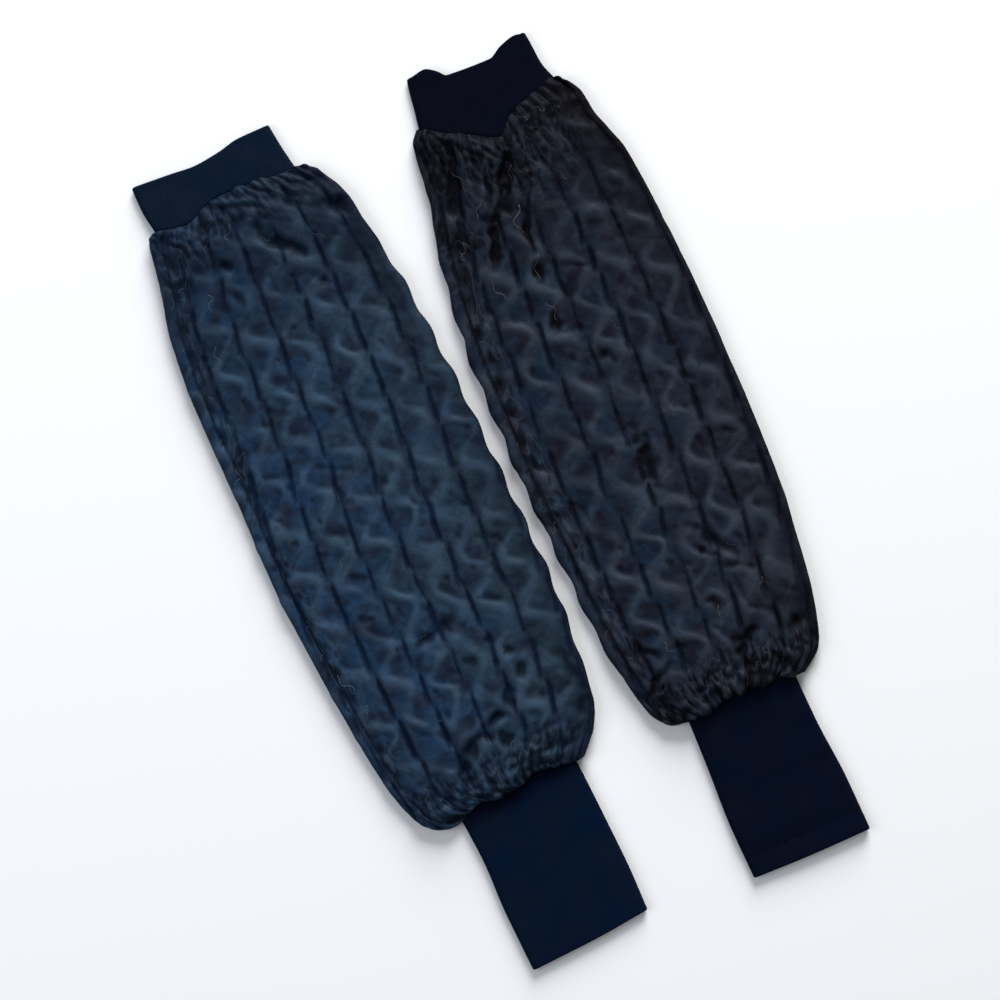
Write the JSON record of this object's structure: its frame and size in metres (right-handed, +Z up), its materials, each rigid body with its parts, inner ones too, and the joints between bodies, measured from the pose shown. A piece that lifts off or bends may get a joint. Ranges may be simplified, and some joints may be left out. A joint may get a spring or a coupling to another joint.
{
  "type": "pair of arm sleeves",
  "caption": "Pair of long quilted arm sleeves laid flat side by side: gathered cloth tubes with plain knit cuffs at wrist and upper arm.",
  "frame": {"origin": "middle of the pair's bounding box, on the surface that the sleeves lie on", "axes": "+Y along the sleeves towards the upper-arm cuffs, +X across from the left sleeve to the right one, +Z up from the surface"},
  "size_m": [0.2914, 0.5088, 0.0146],
  "materials": {
    "left_quilt": "dark blue quilted stretch cloth with a faint sheen",
    "right_quilt": "darker, greyer blue quilted stretch cloth with a faint sheen",
    "left_knit": "matt, very dark blue fine knit",
    "right_knit": "matt, nearly black blue fine knit"
  },
  "bodies": {
    "root": {"left_upper_cuff": "left_knit", "left_body": "left_quilt", "left_wrist_cuff": "left_knit", "right_upper_cuff": "right_knit", "right_body": "right_quilt", "right_wrist_cuff": "right_knit"}
  },
  "joints": []
}
